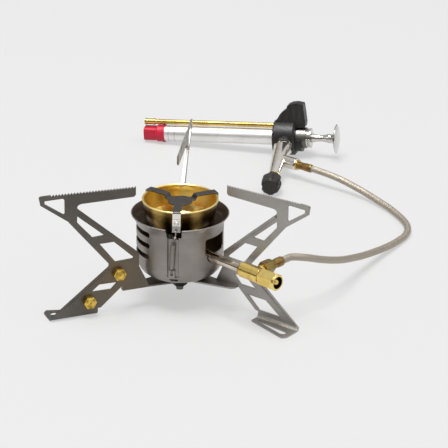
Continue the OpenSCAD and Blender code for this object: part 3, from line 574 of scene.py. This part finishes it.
def paint_barrel():
    """Pale satin metal with two thin turned rings near the red cap."""
    rings_from_cap = (0.0115, 0.0165)
    half, soft = 0.0002, 0.0002
    p = Paint("anodised_barrel", metal=1.0)
    p.round_edges(0.0004)
    cap = pump_axis.dot(middle_of("barrel_end_cap"))
    along = p.along(pump_axis)
    lines = p.math("MAXIMUM", *(p.band(along, cap + ring, half, soft) for ring in rings_from_cap))
    pale = p.mix(p.span(p.noise(60, 3, 0.6), 0.4, 0.7), (0.88, 0.865, 0.84), (0.82, 0.80, 0.77))
    p.color(p.mix(p.times(lines, 0.6), pale, (0.35, 0.32, 0.29)))
    p.rough(p.span(p.noise(1500, 2, 0.6), 0.3, 0.7, 0.40, 0.48))
    p.bump(p.math("SUBTRACT", 1.0, lines), 0.0001, 0.5)
    give(p, "pump_barrel")


def paint_housing():
    """Black moulding, with soft folds running up its fin."""
    fold_pitch, wander = 0.0052, 0.006
    fin_from, fin_to = 0.026, 0.032  # heights where the folds fade in
    p = Paint("black_moulding_folded")
    at = p.math("ADD", p.along(pump_axis), p.times(p.noise(90, 2, 0.5), wander))
    fold = p.math("SINE", p.times(at, 2 * math.pi / fold_pitch))
    p.color(p.mix(p.span(p.noise(45, 4, 0.6), 0.35, 0.7), (0.009, 0.0075, 0.0072), (0.018, 0.0155, 0.0145)))
    p.rough(p.span(p.noise(350, 3, 0.6), 0.3, 0.7, 0.34, 0.50))
    p.bump(p.times(fold, p.span(p.parts()["Z"], fin_from, fin_to)), 0.0007, 0.5)
    p.bump(p.noise(1100, 2, 0.5), 0.00004, 0.6)
    give(p, "pump_housing")


for paint in (paint_cup, paint_legs, paint_spreader, paint_steels, paint_nickels, paint_brasses, paint_hex_cap,
              paint_bell, paint_braid, paint_plastics, paint_barrel, paint_housing):
    paint()

for node in nodes.values():
    if not node.data.materials:
        raise RuntimeError(f"{node.name} has no material")


# ------------------------------------------------------------------ floor, lights, world
FLOOR_HALF = 6.0
FLOOR_GLOW = 0.497  # makes the floor pale while the shadows on it stay soft


def make_floor():
    h = FLOOR_HALF
    floor = link_mesh("floor", [(-h, -h, 0), (h, -h, 0), (h, h, 0), (-h, h, 0)], [(0, 1, 2, 3)], smooth=False)
    p = Paint("floor_paper", rough=0.9, color=(0.20, 0.20, 0.20))
    p.shader.inputs["Emission Color"].default_value = (1, 1, 1, 1)
    p.shader.inputs["Emission Strength"].default_value = FLOOR_GLOW
    p.shader.inputs["Specular IOR Level"].default_value = 0.1
    floor.data.materials.append(p.material)


def add_lamp(name, at, to, size, power):
    lamp = bpy.data.lights.new(name, "AREA")
    lamp.shape = "RECTANGLE"
    lamp.size, lamp.size_y = size
    lamp.energy = power
    obj = bpy.data.objects.new(name, lamp)
    scene.collection.objects.link(obj)
    obj.location = at
    obj.rotation_mode = "QUATERNION"
    obj.rotation_quaternion = (Vector(to) - Vector(at)).to_track_quat("-Z", "Y")


def make_world():
    """A pale studio: bright above, dark at the horizon, and darker behind the viewer and to the left."""
    world = bpy.data.worlds.new("studio")
    scene.world = world
    world.use_nodes = True
    tree = world.node_tree
    background = tree.nodes["Background"]
    coord = tree.nodes.new("ShaderNodeTexCoord")
    split = tree.nodes.new("ShaderNodeSeparateXYZ")
    tree.links.new(coord.outputs["Generated"], split.inputs[0])
    ramp = tree.nodes.new("ShaderNodeValToRGB")
    stops = ramp.color_ramp.elements
    stops[0].position, stops[0].color = 0.0, (0.05, 0.048, 0.045, 1)
    stops[1].position, stops[1].color = 0.9, (1.0, 1.0, 1.0, 1)
    for place, tone in ((0.16, 0.07), (0.30, 0.55)):
        stops.new(place).color = (tone, tone, tone, 1)
    tree.links.new(split.outputs["Z"], ramp.inputs["Fac"])

    room = tree.nodes.new("ShaderNodeMath")
    room.operation = "MULTIPLY"
    tree.links.new(map_range(tree, split.outputs["Y"], -0.95, -0.35, 0.5, 1.0), room.inputs[0])
    tree.links.new(map_range(tree, split.outputs["X"], -0.9, 0.6, 0.6, 1.15), room.inputs[1])
    dim = tree.nodes.new("ShaderNodeVectorMath")
    dim.operation = "SCALE"
    tree.links.new(ramp.outputs["Color"], dim.inputs[0])
    tree.links.new(room.outputs["Value"], dim.inputs["Scale"])
    tree.links.new(dim.outputs["Vector"], background.inputs["Color"])
    background.inputs["Strength"].default_value = 0.9


make_floor()
add_lamp("key_overhead", (-0.35, -0.25, 3.2), (0.05, 0.1, 0.0), (1.8, 1.3), 120)
add_lamp("fill_left", (-3.0, -1.1, 2.0), (0.0, 0.05, 0.03), (1.3, 2.0), 8)
add_lamp("fill_right", (3.2, -0.5, 2.1), (0.05, 0.1, 0.03), (1.2, 2.0), 9)
make_world()
scene.view_settings.view_transform = "Standard"
